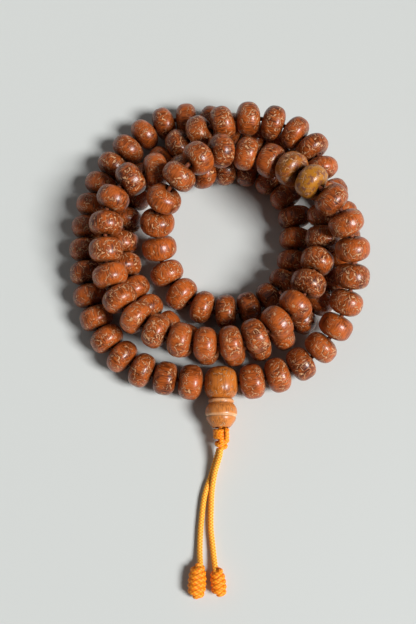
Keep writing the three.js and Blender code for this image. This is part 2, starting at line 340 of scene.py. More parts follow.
def seed_skin(tree, apart, values, light, dark):
    """The skin's colour: drifts about 4 mm across, and fibres 0.3 mm wide from hole to hole."""
    drift = add(tree, NOISE, {"Vector": apart, "Scale": 0.26, "Detail": 3.0})
    along = add(tree, VECTOR_MATH, {0: apart, 1: (1, 1, 0.12)}, operation="MULTIPLY")
    fibre = add(tree, NOISE, {"Vector": along, "Scale": 2.9, "Detail": 4.0})
    tone = add(tree, MATH, {0: values["tone"], 1: 0.9, 2: -0.42}, operation="MULTIPLY_ADD")
    drifted = add(tree, MATH, {0: drift, 1: 1.5, 2: tone}, operation="MULTIPLY_ADD")
    shade = add(tree, MATH, {0: fibre, 1: 2.0, 2: drifted}, operation="MULTIPLY_ADD")
    share = add(tree, MAP_RANGE, {0: shade, 1: 1.28, 2: 2.1})
    skin = add(tree, MIX, {"Factor": share, 6: dark, 7: light}, data_type="RGBA").node.outputs[2]

    # An unripe seed is ochre with grey-violet stains
    stain = add(tree, NOISE, {"Vector": apart, "Scale": 0.62, "Detail": 4.0})
    stained = add(tree, MAP_RANGE, {0: stain, 1: 0.5, 2: 0.6, 3: 0.0, 4: 0.8})
    unripe = add(
        tree, MIX, {"Factor": stained, 6: linear("#B0701C"), 7: linear("#6E4038")},
        data_type="RGBA",
    ).node.outputs[2]
    ripened = add(tree, MIX, {"Factor": values["ochre"], 6: skin, 7: unripe}, data_type="RGBA")
    return ripened.node.outputs[2], fibre


def seed_squiggles(tree, apart, marks):
    """Where the pale fibre shows, and where the skin beside it is darker, a painted shadow of the
    crack. Both are bent by a noise and kept only in patches."""
    bend = add(tree, NOISE, {"Vector": apart, "Scale": 0.8, "Detail": 1.0})
    bent = add(
        tree, VECTOR_MATH, {0: bend.node.outputs["Color"], 1: (1.4, 1.4, 1.4), 2: apart},
        operation="MULTIPLY_ADD",
    )
    # Each cell 1.25 mm across holds one crack, a thin disc that faces its own way. It is about
    # 0.2 mm wide, coarser than some real ones, so that it shows.
    fine = add(tree, VECTOR_MATH, {0: bent, "Scale": 0.8}, operation="SCALE")
    cell = add(tree, "ShaderNodeTexVoronoi", {"Vector": fine, "Scale": 1.0}).node
    inward = add(tree, VECTOR_MATH, {0: fine, 1: cell.outputs["Position"]}, operation="SUBTRACT")
    lean = add(
        tree, VECTOR_MATH, {0: cell.outputs["Color"], 1: (0.5, 0.5, 0.5)}, operation="SUBTRACT"
    )
    facing = add(tree, VECTOR_MATH, {0: lean}, operation="NORMALIZE")
    offset = add(tree, VECTOR_MATH, {0: inward, 1: facing}, operation="DOT_PRODUCT")
    distance = add(tree, MATH, {0: offset.node.outputs["Value"]}, operation="ABSOLUTE")
    thin = add(tree, MAP_RANGE, {0: distance, 1: 0.045, 2: 0.11, 3: 1.0, 4: 0.0})
    reach = add(tree, VECTOR_MATH, {0: inward}, operation="LENGTH").node.outputs["Value"]
    short = add(tree, MAP_RANGE, {0: reach, 1: 0.5, 2: 0.6, 3: 1.0, 4: 0.0})
    cracks = add(tree, MATH, {0: thin, 1: short}, operation="MULTIPLY")
    # Painted shadow: a band of skin beside each crack is darkened
    beside = add(tree, MAP_RANGE, {0: distance, 1: 0.09, 2: 0.26, 3: 1.0, 4: 0.0})
    shore = add(tree, MATH, {0: beside, 1: short}, operation="MULTIPLY")
    # Longer lines follow the contours of a slow noise, and are broken into pieces
    slow = add(tree, NOISE, {"Vector": bent, "Scale": 0.5, "Detail": 0.0})
    level = add(tree, MATH, {0: slow, 1: 0.5}, operation="SUBTRACT")
    off = add(tree, MATH, {0: level}, operation="ABSOLUTE")
    worms = add(tree, MAP_RANGE, {0: off, 1: 0.01, 2: 0.02, 3: 0.8, 4: 0.0})
    patch = add(tree, NOISE, {"Vector": apart, "Scale": 0.42, "Detail": 1.0})
    wide = add(tree, MATH, {0: marks, 1: 0.3, 2: patch}, operation="MULTIPLY_ADD")
    where = add(tree, MAP_RANGE, {0: wide, 1: 0.5, 2: 0.62})
    breaks = add(tree, NOISE, {"Vector": apart, "Scale": 0.9, "Detail": 0.0})
    kept = add(tree, MAP_RANGE, {0: breaks, 1: 0.5, 2: 0.56})
    broken = add(tree, MATH, {0: worms, 1: kept}, operation="MULTIPLY")
    lines = add(tree, MATH, {0: cracks, 1: broken}, operation="MAXIMUM")
    squiggles = add(tree, MATH, {0: lines, 1: where}, operation="MULTIPLY")
    shadowed = add(tree, MATH, {0: shore, 1: where}, operation="MULTIPLY")
    return squiggles, shadowed


def polished_seed(name, light, dark, mark):
    """The dried seed of a palm, turned on a lathe and polished with wax. Its skin is a warm
    red-brown with darker drifts and fine streaks from hole to hole, broken by squiggly cracks
    that are filled with pale fibre. Wax gives it a soft broad gloss with a sharper core."""
    material, tree, shader = new_material(name, roughness=0.4, coat=0.32, coat_roughness=0.17)
    shader.inputs["IOR"].default_value = 1.5
    shader.inputs["Specular IOR Level"].default_value = 0.25

    place = add(tree, ATTRIBUTE, attribute_name="seed_place").node.outputs["Vector"]
    values = {
        key: add(tree, ATTRIBUTE, attribute_name="seed_" + key).node.outputs["Fac"]
        for key in ("number", "tone", "marks", "ochre", "pale", "dark")
    }
    # Every bead is cut from another part of the same grain
    apart = add(
        tree, VECTOR_MATH, {0: values["number"], 1: (3.71, 9.13, 5.37), 2: place},
        operation="MULTIPLY_ADD",
    )
    skin, fibre = seed_skin(tree, apart, values, light, dark)
    squiggles, shadowed = seed_squiggles(tree, apart, values["marks"])

    # From the skin up: a painted shadow beside a crack, the fibre in it, painted shade at the rim
    # of the hole and in the other hollows, together with the guru bead's seam and mottle, and
    # freshly cut edges
    strength = add(tree, MATH, {0: squiggles, 1: 0.76}, operation="MULTIPLY")
    darker = add(tree, MATH, {0: shadowed, 1: 0.5}, operation="MULTIPLY")
    painted_shade_seam_and_mottle = add(tree, MATH, {0: values["dark"], 1: 0.8}, operation="MULTIPLY")
    colour = skin
    for share, over in (
        (darker, linear("#3A1405")), (strength, mark), (painted_shade_seam_and_mottle, linear("#2A0F06")),
        (values["pale"], linear("#E6BC90")),
    ):
        mixed = add(tree, MIX, {"Factor": share, 6: colour, 7: over}, data_type="RGBA")
        colour = mixed.node.outputs[2]
    tree.links.new(colour, shader.inputs["Base Color"])

    # The fibre in the cracks takes less wax than the skin
    gloss = add(tree, MAP_RANGE, {0: squiggles, 1: 0.0, 2: 1.0, 3: 0.36, 4: 0.58})
    tree.links.new(gloss, shader.inputs["Roughness"])
    ridge = add(tree, MATH, {0: squiggles, 1: -0.8, 2: fibre}, operation="MULTIPLY_ADD")
    bump = add(tree, "ShaderNodeBump", {"Strength": 0.8, "Distance": 0.12 * MM, "Height": ridge})
    tree.links.new(bump, shader.inputs["Normal"])
    return material


def braided_nylon(name, deep, bright):
    """Nylon cord in a round plait, dyed orange. Filament nylon is smooth and lustrous; its colour
    is painted light and shade: a yellower orange on the tops of its yarns as painted light, and a
    deep red-orange in the hollows between them as painted shade."""
    material, tree, shader = new_material(name, roughness=0.55)
    shader.inputs["IOR"].default_value = 1.53
    shader.inputs["Specular IOR Level"].default_value = 0.3
    height = add(tree, ATTRIBUTE, attribute_name="cord_height").node.outputs["Fac"]
    over = add(tree, ATTRIBUTE, attribute_name="cord_over").node.outputs["Fac"]
    place = add(tree, "ShaderNodeTexCoord").node.outputs["Object"]
    # Filaments about 0.1 mm wide, drawn coarser than real ones so that they show
    filament = add(tree, NOISE, {"Vector": place, "Scale": 5200.0, "Detail": 2.0})
    # Painted light and shade: the bright colour on the yarns' tops and a little more on the yarn
    # that passes over, the deep colour in the hollows
    painted_light_by_height = add(tree, MAP_RANGE, {0: height, 1: 0.4, 2: 0.8})
    lean = add(tree, MATH, {0: over, 1: 0.12, 2: painted_light_by_height}, operation="MULTIPLY_ADD")
    mixed = add(tree, MATH, {0: filament, 1: 0.4, 2: lean}, operation="MULTIPLY_ADD")
    share = add(tree, MAP_RANGE, {0: mixed, 1: 0.2, 2: 1.1})
    dyed = add(tree, MIX, {"Factor": share, 6: deep, 7: bright}, data_type="RGBA").node.outputs[2]
    tree.links.new(dyed, shader.inputs["Base Color"])
    bump = add(tree, "ShaderNodeBump", {"Strength": 0.4, "Distance": 0.04 * MM, "Height": filament})
    tree.links.new(bump, shader.inputs["Normal"])
    return material


def painted_shade_nylon(name):
    """The same nylon cord inside the beads, painted dark brown as painted shade for the shade
    between the beads.
    """
    material, tree, shader = new_material(name, roughness=0.7)
    place = add(tree, "ShaderNodeTexCoord").node.outputs["Object"]
    # The painted shade varies in patches about 1 mm across
    shade_patches = add(tree, NOISE, {"Vector": place, "Scale": 900.0, "Detail": 3.0})
    share = add(tree, MAP_RANGE, {0: shade_patches, 1: 0.35, 2: 0.65})
    painted_brown_shade = add(
        tree, MIX, {"Factor": share, 6: linear("#5A2408"), 7: linear("#8A400E")},
        data_type="RGBA",
    ).node.outputs[2]
    tree.links.new(painted_brown_shade, shader.inputs["Base Color"])
    return material


def once(make, name, *values):
    """The material of that name, made the first time that it is asked for."""
    return bpy.data.materials.get(name) or make(name, *values)


# ---- The beads


def turned_shape(tree, given):
    """A grid rolled up round the hole, whose other way runs over the outside and back along the
    bore. Local Z is the hole."""
    # The outside takes 84 % of the grid's length, and the bore the rest
    outside, end = 0.42, 0.5
    rings = 44
    more = add(tree, MATH, {0: given["Sides"], 1: 1.0}, operation="ADD")
    grid = add(
        tree, "GeometryNodeMeshGrid",
        {"Size X": 1.0, "Size Y": 1.0, "Vertices X": more, "Vertices Y": rings + 1},
    )
    place = add(tree, "GeometryNodeInputPosition")
    across = add(tree, "ShaderNodeSeparateXYZ", {0: place})
    down = across.node.outputs[1]
    turn = add(tree, MATH, {0: across, 1: math.tau}, operation="MULTIPLY")
    quarter = math.pi / 2
    swing = add(tree, MAP_RANGE, {0: down, 1: -outside, 2: outside, 3: -quarter, 4: quarter})

    # A superellipse: both ways are raised to 2 / fullness
    power = add(tree, MATH, {0: 2.0, 1: given["Fullness"]}, operation="DIVIDE")
    cosine, sine = [add(tree, MATH, {0: swing}, operation=wave) for wave in ("COSINE", "SINE")]
    sizes = [add(tree, MATH, {0: wave}, operation="ABSOLUTE") for wave in (cosine, sine)]
    wide, tall = [add(tree, MATH, {0: size, 1: power}, operation="POWER") for size in sizes]
    side = add(tree, MATH, {0: sine}, operation="SIGN")
    outer = add(tree, MATH, {0: wide, 1: given["Radius"]}, operation="MULTIPLY")
    rise = add(tree, MATH, {0: tall, 1: given["Half length"]}, operation="MULTIPLY")

    # The hole's lip is rounded over 0.7 mm
    reach = add(tree, MATH, {0: outer, 1: given["Bore"], 2: 0.3 * MM}, operation="SMOOTH_MAX")
    lip_start = add(tree, MATH, {0: given["Bore"], 1: 0.7 * MM}, operation="ADD")
    lip = add(
        tree, MAP_RANGE, {0: reach, 1: given["Bore"], 2: lip_start, 3: 0.3 * MM, 4: 0.0},
        interpolation_type="SMOOTHSTEP",
    )
    lowered = add(tree, MATH, {0: rise, 1: lip}, operation="SUBTRACT")
    away = add(tree, MATH, {0: down}, operation="ABSOLUTE")
    back = add(tree, MAP_RANGE, {0: away, 1: outside, 2: end, 3: 1.0, 4: 0.0})
    signed = add(tree, MATH, {0: lowered, 1: side}, operation="MULTIPLY")
    height = add(tree, MATH, {0: signed, 1: back}, operation="MULTIPLY")
    turns = [add(tree, MATH, {0: turn}, operation=wave) for wave in ("COSINE", "SINE")]
    x, y = [add(tree, MATH, {0: reach, 1: wave}, operation="MULTIPLY") for wave in turns]
    rolled = add(tree, "ShaderNodeCombineXYZ", {0: x, 1: y, 2: height})
    shape = add(tree, "GeometryNodeSetPosition", {"Geometry": grid, "Position": rolled})
    return add(tree, "GeometryNodeMergeByDistance", {"Geometry": shape, "Distance": 1e-6})


def seed_bead_tree():
    """A turned bead with what its material reads, and a slightly uneven surface."""
    number_inputs = {
        "Radius": 4.9 * MM, "Half length": 3.4 * MM, "Bore": 0.95 * MM, "Fullness": 2.5,
        "Unevenness": 0.09 * MM, "Number": 1.0, "Tone": 0.5, "Marks": 0.5, "Ochre": 0.0,
    }
    sockets = {name: ("Float", value) for name, value in number_inputs.items()}
    sockets |= {"Sides": ("Int", 40), "Material": ("Material", None)}
    tree, given = new_tree("Seed bead", sockets)
    described = turned_shape(tree, given)

    # Painted shade: the rim of the hole and the shoulders down to it are darker, where the bore and
    # the neighbouring beads shade them
    here = add(tree, "GeometryNodeInputPosition")
    in_mm = add(tree, VECTOR_MATH, {0: here, "Scale": 1 / MM}, operation="SCALE")
    flat = add(tree, VECTOR_MATH, {0: in_mm, 1: (1, 1, 0)}, operation="MULTIPLY")
    radial = add(tree, VECTOR_MATH, {0: flat}, operation="LENGTH").node.outputs[1]
    rim, shoulder = [
        add(
            tree, MAP_RANGE, {0: radial, 1: inner, 2: outer, 3: most, 4: 0.0},
            interpolation_type="SMOOTHSTEP",
        )
        for inner, outer, most in ((1.1, 1.9, 1.0), (1.6, 4.0, 0.6))
    ]
    wear_and_painted_shade = add(tree, MATH, {0: rim, 1: shoulder}, operation="MAXIMUM")
    # What the material reads: places in millimetres, and each bead's own numbers
    for name, value, kind in (
        ("place", in_mm, "FLOAT_VECTOR"), ("number", given["Number"], "FLOAT"),
        ("tone", given["Tone"], "FLOAT"), ("marks", given["Marks"], "FLOAT"),
        ("ochre", given["Ochre"], "FLOAT"), ("dark", wear_and_painted_shade, "FLOAT"), ("pale", 0.0, "FLOAT"),
    ):
        described = add(
            tree, STORE, {"Geometry": described, "Name": "seed_" + name, "Value": value},
            data_type=kind,
        )

    # The lathe and the seed's growth leave the surface slightly uneven
    apart = add(
        tree, VECTOR_MATH, {0: given["Number"], 1: (7.3, 2.9, 4.7), 2: in_mm},
        operation="MULTIPLY_ADD",
    )
    lumps = add(tree, NOISE, {"Vector": apart, "Scale": 0.21, "Detail": 1.0})
    stray = add(tree, MAP_RANGE, {0: lumps, 1: 0.25, 2: 0.75, 3: -1.0, 4: 0.6})
    amount = add(tree, MATH, {0: stray, 1: given["Unevenness"]}, operation="MULTIPLY")
    normal = add(tree, "GeometryNodeInputNormal")
    offset = add(tree, VECTOR_MATH, {0: normal, "Scale": amount}, operation="SCALE")
    uneven = add(tree, "GeometryNodeSetPosition", {"Geometry": described, "Offset": offset})
    finish_tree(tree, uneven, given["Material"])
    return tree


# Beads that differ: an unripe ochre seed, its stained neighbour and smoother ones
OCHRE = {97: 0.45, 98: 1.0}
SMOOTH = {104: 0.05, 58: 0.1, 101: 0.2}


def cad_node(number):
    """The CAD node that holds a bead: its own, or that of its run."""
    single = f"bead_{number:03d}"
    if single in frame["nodes"]:
        return single
    for name in frame["nodes"]:
        if name.startswith("bead_run_") and int(name[9:12]) <= number <= int(name[13:16]):
            return name
    raise RuntimeError(f"no CAD node holds bead {number}")


def half_room(reach, bend, radius, fullness):
    """The longest half length that keeps a bead on its own side of the bend at its end, so that
    neighbours don't cut into each other: the least that any share of its radius allows."""
    # From the hole's middle out to the shoulder, past which the barrel falls away
    shares = [step / 24 for step in range(22)]
    return min(
        (reach - radius * share * math.tan(bend / 2)) / (1 - share**fullness) ** (1 / fullness)
        for share in shares
    )


class MALA_OT_beads(bpy.types.Operator):
    """Makes the 108 seed beads, each in its place on the cord"""

    bl_idname = "mala.beads"
    bl_label = "Seed beads"

    def execute(self, context):
        settings = context.scene.mala_seed
        tree = seed_bead_tree()
        colours = [tuple(colour) for colour in (settings.light, settings.dark, settings.mark)]
        material = once(polished_seed, "polished_seed", *colours)
        for number in range(1, BEAD_COUNT + 1):
            chance = random.Random(number)
            step = points[number] - points[number - 1]
            before = points[number - 1] - (points[number - 2] if number > 1 else guru)
            after = (points[number + 1] if number < BEAD_COUNT else guru) - points[number]
            bend = max(step.angle(before), step.angle(after))
            radius = settings.radius * (1 - chance.uniform(0, settings.size_spread))
            fullness = settings.fullness + chance.uniform(-0.2, 0.2)
            reach = (step.length - settings.end_gap) / 2
            values = {
                "Radius": radius,
                "Half length": half_room(reach, bend, radius, fullness),
                "Bore": settings.bore,
                "Fullness": fullness,
                "Unevenness": settings.unevenness,
                "Number": float(number),
                "Tone": chance.uniform(0.3, 0.65),
                "Marks": SMOOTH.get(number, chance.uniform(0.15, 0.95)),
                "Ochre": OCHRE.get(number, 0.0),
                "Sides": settings.sides,
                "Material": material,
            }
            bead = grow(f"seed_bead_{number:03d}", tree, values)
            turned = step.to_track_quat("Z", "Y").to_matrix().to_4x4()
            rolled = Matrix.Rotation(chance.uniform(0, math.tau), 4, "Z")
            middle = (points[number] + points[number - 1]) / 2
            bead.data.transform(Matrix.Translation(middle) @ turned @ rolled)
            node = cad_node(number)
            hand_over(bead, node_bodies[node], "bead_seed", node)
        return {"FINISHED"}


# ---- Guru bead and cap bead


def lathe(outline, sides, closed):
    """A mesh turned about Z from (radius, z) points. A closed outline runs round a bore."""
    mesh = bmesh.new()
    rings = []
    for radius, z in outline:
        count = sides if radius > 1e-7 else 1
        turns = [math.tau * n / sides for n in range(count)]
        rings.append(
            [mesh.verts.new((radius * math.cos(t), radius * math.sin(t), z)) for t in turns]
        )
    pairs = list(zip(rings, rings[1:] + ([rings[0]] if closed else [])))
    for lower, upper in pairs:
        for n in range(sides):
            a, b = lower[n % len(lower)], lower[(n + 1) % sides % len(lower)]
            c, d = upper[(n + 1) % sides % len(upper)], upper[n % len(upper)]
            mesh.faces.new(list(dict.fromkeys((a, b, c, d))))
    bmesh.ops.recalc_face_normals(mesh, faces=mesh.faces)
    for face in mesh.faces:
        face.smooth = True
    made = bpy.data.meshes.new("lathe")
    mesh.to_mesh(made)
    mesh.free()
    return made


def write(mesh, name, kind, values):
    """Keeps a value for each point of a mesh as a named attribute."""
    attribute = mesh.attributes.new(name, kind, "POINT")
    flat = [part for value in values for part in value] if kind == "FLOAT_VECTOR" else values
    attribute.data.foreach_set("vector" if kind == "FLOAT_VECTOR" else "value", list(flat))


def describe(mesh, pale, dark, **numbers):
    """What the seed material reads, from the points in millimetres before they are placed: two
    functions of a place, and numbers that are the same all over."""
    places = [vertex.co / MM for vertex in mesh.vertices]
    write(mesh, "seed_place", "FLOAT_VECTOR", places)
    write(mesh, "seed_pale", "FLOAT", [pale(place) for place in places])
    write(mesh, "seed_dark", "FLOAT", [dark(place) for place in places])
    for name, value in numbers.items():
        write(mesh, "seed_" + name, "FLOAT", [float(value)] * len(places))


def roughen(mesh, amount, size, seed):
    """Moves every point along its normal by a slow noise."""
    normals = [normal.vector.copy() for normal in mesh.vertex_normals]
    for vertex, normal in zip(mesh.vertices, normals):
        lump = noise.noise(vertex.co / size + Vector((seed, seed, seed)))
        vertex.co += normal * lump * amount


# Turns Z to the mala's own way out: minus Y
TO_FRONT = Matrix.Rotation(math.pi / 2, 4, "X")


def barrel_outline(radius, half, bore, fullness):
    """A barrel's outline from its closed end up to its bore, 3 degrees to a step."""
    outline = []
    for step in range(61):
        swing = math.radians(-90 + 3 * step)
        across = radius * abs(math.cos(swing)) ** (2 / fullness)
        if swing > 0 and across < bore:
            break
        rise = math.copysign(abs(math.sin(swing)) ** (2 / fullness), math.sin(swing))
        outline.append((across if step else 0, half * rise))
    return outline


def press_seam(mesh):
    """The seed's seam, a fine groove that wanders down its upper face. Returns how near each
    point is to it, from 0 to 1."""
    depth, width = 0.09 * MM, 0.28 * MM
    seam = []
    for vertex in mesh.vertices:
        place = vertex.co
        off = abs(place.x - 0.5 * MM - 0.25 * MM * math.sin(place.z / MM * 0.8))
        near = 1 - eased(off, 0, width) if place.y >= 0 else 0
        seam.append(near * (1 - eased(abs(place.z), 3.2 * MM, 4.4 * MM)))
    for vertex, near in zip(mesh.vertices, seam):
        vertex.co -= Vector((0, 1, 0)) * near * depth
    return seam


def drill_across(mesh, radius, length):
    """The mesh with a bore drilled through its middle along X."""
    body = as_piece("undrilled", mesh)
    tool = bmesh.new()
    bmesh.ops.create_cone(
        tool, cap_ends=True, segments=32, radius1=radius, radius2=radius, depth=length
    )
    turn = Matrix.Rotation(math.pi / 2, 4, "Y")
    bmesh.ops.transform(tool, matrix=turn, verts=tool.verts)
    tool_mesh = bpy.data.meshes.new("drill")
    tool.to_mesh(tool_mesh)
    tool.free()
    drill = as_piece("drill", tool_mesh)
    cut = body.modifiers.new("bore", "BOOLEAN")
    cut.operation = "DIFFERENCE"
    cut.solver = "EXACT"
    cut.object = drill
    depsgraph = bpy.context.evaluated_depsgraph_get()
    drilled = bpy.data.meshes.new_from_object(
        body.evaluated_get(depsgraph), preserve_all_data_layers=True, depsgraph=depsgraph
    )
    bpy.data.objects.remove(drill)
    bpy.data.objects.remove(body)
    drilled.materials.clear()
    return drilled


def guru_painted_shade_and_mottle(place):
    """How dark the guru bead is at a point in millimetres: painted shade at the rim of its front
    hole, and a mottled shoulder away from the cap bead, on the side away from the key light, which
    is partly the seed's own mottle and partly painted shade."""
    rim = 1 - eased(math.hypot(place.x, place.y), 1.6, 2.6) if place.z > 0 else 0
    mottle = eased(noise.noise(place * 0.9), -0.1, 0.35)
    shoulder = eased(-place.z - 0.45 * place.x, 0.5, 3.2)
    return max(rim, 0.6 * mottle * shoulder)


class MALA_OT_guru_bead(bpy.types.Operator):
    """Makes the guru bead, a larger barrel with three holes"""

    bl_idname = "mala.guru_bead"
    bl_label = "Guru bead"

    def execute(self, context):
        settings = context.scene.mala_seed
        radius, half, bore, side_bore = 4.72 * MM, 4.75 * MM, 1.7 * MM, 1.1 * MM
        outline = barrel_outline(radius, half, bore, fullness=2.55)
        # Over the lip, and up the front bore to its blind end just past the side bore
        outline += [(bore * 1.03, half * 0.985), (bore, half * 0.95), (bore, half * 0.4)]
        outline += [(bore, -side_bore), (0, -side_bore)]
        mesh = lathe(outline, sides=128, closed=False)
        roughen(mesh, amount=0.16 * MM, size=5 * MM, seed=3.1)
        seam = press_seam(mesh)
        describe(mesh, lambda place: 0, guru_painted_shade_and_mottle, number=131, tone=0.75, marks=0.2)
        for value, near in zip(mesh.attributes["seed_dark"].data, seam):
            value.value = max(value.value, 0.55 * near)
        drilled = drill_across(mesh, side_bore, 3 * radius)
        drilled.transform(Matrix.Translation(guru) @ TO_FRONT)
        drilled.materials.append(
            once(
                polished_seed, "polished_guru_seed", linear("#C06C24"), linear("#6A300E"),
                tuple(settings.mark),
            )
        )
        hand_over(as_piece("guru_seed_bead", drilled), STRAND, "guru_seed", "guru_bead")
        return {"FINISHED"}


# How far the cap bead's top is from the guru bead's middle, in millimetres
CAP_TOP = 4.4
# Its outline in millimetres, from its cupped rim down the outside to its foot and back up the
# bore: radius, and distance from the top
CAP_OUTLINE = [
    (2.55, 0.12), (2.8, 0.0), (3.1, -0.02), (3.32, 0.1), (3.46, 0.35), (3.5, 0.62), (3.45, 0.88),
    (3.33, 1.06), (3.3, 1.16), (3.36, 1.26), (3.55, 1.42), (3.8, 1.72), (4.05, 2.12), (4.24, 2.6),
    (4.35, 3.1), (4.4, 3.6), (4.38, 4.05), (4.3, 4.4), (4.18, 4.58), (4.04, 4.66), (3.98, 4.74),
    (3.98, 4.86), (4.06, 4.94), (4.1, 5.04), (4.06, 5.3), (3.95, 5.65), (3.78, 6.02),
    (3.54, 6.42), (3.25, 6.82), (2.94, 7.18), (2.66, 7.48), (2.42, 7.7), (2.18, 7.79),
    (1.95, 7.76), (1.78, 7.6), (1.7, 7.3), (1.7, 4.0), (1.7, 1.1), (1.85, 0.75), (2.2, 0.4),
]


def cap_pale(place):
    """How pale the cap bead is at a point in millimetres: its rim and its groove, with uneven wear.
    """
    rim = 1 - eased(abs(place.z - 0.5), 0.2, 0.5)
    groove = 1 - eased(abs(place.z - 4.62), 0.2, 0.5)
    outside = eased(math.hypot(place.x, place.y), 2.4, 2.8)
    wear_and_painted_shade = 0.65 + 0.5 * noise.noise(place * 0.5)
    return max(rim * 0.6, groove * 0.85) * outside * wear_and_painted_shade


def cap_painted_shade(place):
    """Painted shade on the cap bead: how dark its neck, the step under its groove, and its bore
    are.
    """
    neck = 1 - eased(abs(place.z - 1.14), 0.06, 0.22)
    step = 1 - eased(abs(place.z - 4.86), 0.04, 0.16)
    bore = 1 - eased(math.hypot(place.x, place.y), 1.75, 2.1)
    return max(neck * 0.35, step * 0.6, bore * 0.9)


class MALA_OT_cap_bead(bpy.types.Operator):
    """Makes the cap bead, with its cupped rim, its groove and its narrow foot"""

    bl_idname = "mala.cap_bead"
    bl_label = "Cap bead"

    def execute(self, context):
        settings = context.scene.mala_seed
        outline = [(radius * MM, z * MM) for radius, z in CAP_OUTLINE]
        mesh = lathe(outline, sides=96, closed=True)
        describe(mesh, cap_pale, cap_painted_shade, number=157, tone=0.85, marks=0.1)
        roughen(mesh, amount=0.08 * MM, size=4 * MM, seed=8.3)
        place = Vector((guru.x, guru.y - CAP_TOP * MM, guru.z))
        mesh.transform(Matrix.Translation(place) @ TO_FRONT)
        mesh.materials.append(
            once(
                polished_seed, "polished_cap_seed", linear("#CC7C38"), linear("#7A3E16"),
                tuple(settings.mark),
            )
        )
        hand_over(as_piece("cap_seed_bead", mesh), node_bodies["guru_cap"], "cap_seed", "guru_cap")
        return {"FINISHED"}


# ---- The cord


def braided_tube(tree, given):
    """A tube along the curve whose points know how far along, how far round and where its middle
    they are."""
    even = add(
        tree, "GeometryNodeResampleCurve", {"Curve": given["Geometry"], "Length": given["Step"]},
        mode="LENGTH",
    )
    length = add(tree, "GeometryNodeSplineParameter").node.outputs["Length"]
    centre = add(tree, "GeometryNodeInputPosition")
    path = even
    for name, value, kind in (("along", length, "FLOAT"), ("middle", centre, "FLOAT_VECTOR")):
        path = add(
            tree, STORE, {"Geometry": path, "Name": "cord_" + name, "Value": value},
            data_type=kind,
        )
    circle = add(
        tree, "GeometryNodeCurvePrimitiveCircle",
        {"Resolution": given["Sides"], "Radius": given["Radius"]},
    )
    factor = add(tree, "GeometryNodeSplineParameter")
    section = add(tree, STORE, {"Geometry": circle, "Name": "cord_around", "Value": factor})
    thickness = add(tree, "GeometryNodeInputRadius")
    return add(
        tree, "GeometryNodeCurveToMesh",
        {"Curve": path, "Profile Curve": section, "Scale": thickness, "Fill Caps": True},
    )


def braided_cord_tree():
    """A round plait along a curve: yarns in two slanting families that pass over each other in
    turn, as a relief on a tube."""
    sockets = {
        "Geometry": ("Geometry", None), "Radius": ("Float", 0.75 * MM), "Columns": ("Int", 4),
        "Pick": ("Float", 0.3 * MM), "Relief": ("Float", 0.1 * MM), "Step": ("Float", 0.07 * MM),
        "Sides": ("Int", 30), "Material": ("Material", None),
    }
    tree, given = new_tree("Braided cord", sockets)
    tube = braided_tube(tree, given)
    around, along, middle = [
        add(tree, "GeometryNodeInputNamedAttribute", {"Name": "cord_" + name}, data_type=kind)
        for name, kind in (("around", "FLOAT"), ("along", "FLOAT"), ("middle", "FLOAT_VECTOR"))
    ]

    # Cells between the two families of slanting lines, and which family is over in each
    column = add(tree, MATH, {0: around, 1: given["Columns"]}, operation="MULTIPLY")
    row = add(tree, MATH, {0: along, 1: given["Pick"]}, operation="DIVIDE")
    half_row = add(tree, MATH, {0: row, 1: 0.5}, operation="MULTIPLY")
    slants = [
        add(tree, MATH, {0: column, 1: half_row}, operation=way) for way in ("ADD", "SUBTRACT")
    ]
    left, right = [add(tree, MATH, {0: slant}, operation="FRACT") for slant in slants]
    left_cell, right_cell = [add(tree, MATH, {0: slant}, operation="FLOOR") for slant in slants]
    cell = add(tree, MATH, {0: left_cell, 1: right_cell}, operation="ADD")
    over = add(tree, MATH, {0: cell, 1: 2.0}, operation="FLOORED_MODULO")

    # Each yarn is a ridge across its cell, highest in the middle of its run
    width = add(tree, MIX, {"Factor": over, 2: left, 3: right})
    run = add(tree, MIX, {"Factor": over, 2: right, 3: left})
    ways = [
        add(tree, MATH, {0: way, 1: 2.0, 2: -1.0}, operation="MULTIPLY_ADD")
        for way in (width, run)
    ]
    squares = [add(tree, MATH, {0: way, 1: way}, operation="MULTIPLY") for way in ways]
    bulge, crown = [
        add(tree, MATH, {0: square, 1: fall, 2: 1.0}, operation="MULTIPLY_ADD")
        for square, fall in zip(squares, (-0.85, -0.5))
    ]
    height = add(tree, MATH, {0: bulge, 1: crown}, operation="MULTIPLY")
    shown = tube
    for name, value in (("cord_height", height), ("cord_over", over)):
        shown = add(tree, STORE, {"Geometry": shown, "Name": name, "Value": value})
    place = add(tree, "GeometryNodeInputPosition")
    outward = add(tree, VECTOR_MATH, {0: place, 1: middle}, operation="SUBTRACT")
    straight = add(tree, VECTOR_MATH, {0: outward}, operation="NORMALIZE")
    level = add(tree, MATH, {0: height, 1: 0.6}, operation="SUBTRACT")
    amount = add(tree, MATH, {0: level, 1: given["Relief"]}, operation="MULTIPLY")
    offset = add(tree, VECTOR_MATH, {0: straight, "Scale": amount}, operation="SCALE")
    raised = add(tree, "GeometryNodeSetPosition", {"Geometry": shown, "Offset": offset})
    finish_tree(tree, raised, given["Material"])
    return tree


def braid(name, routes, settings, radius, **values):
    """A piece of braided cord along one or more routes. A route's point may have a fourth number,
    its share of the radius."""
    curve = bpy.data.curves.new(name, "CURVE")
    curve.dimensions = "3D"
    for route in routes:
        spline = curve.splines.new("POLY")
        spline.points.add(len(route) - 1)
        for point, place in zip(spline.points, route):
            point.co = (*place[:3], 1)
            point.radius = place[3] if len(place) > 3 else 1
    tree = bpy.data.node_groups.get("Braided cord") or braided_cord_tree()
    given = {"Radius": radius, "Pick": settings.pick, "Relief": settings.relief}
    return grow(name, tree, given | values, curve)


def pulled_nylon(settings):
    """The material of the knots, where the cord is pulled tight and its colour is deeper."""
    return once(braided_nylon, "pulled_nylon", tuple(settings.deep), tuple(settings.tight))


def placed(route, frame_matrix):
    """A route given in millimetres in a knot's own frame, taken to its place."""
    return [
        (*(frame_matrix @ (Vector(place[:3]) * MM)), place[3] if len(place) > 3 else 1)
        for place in route
    ]


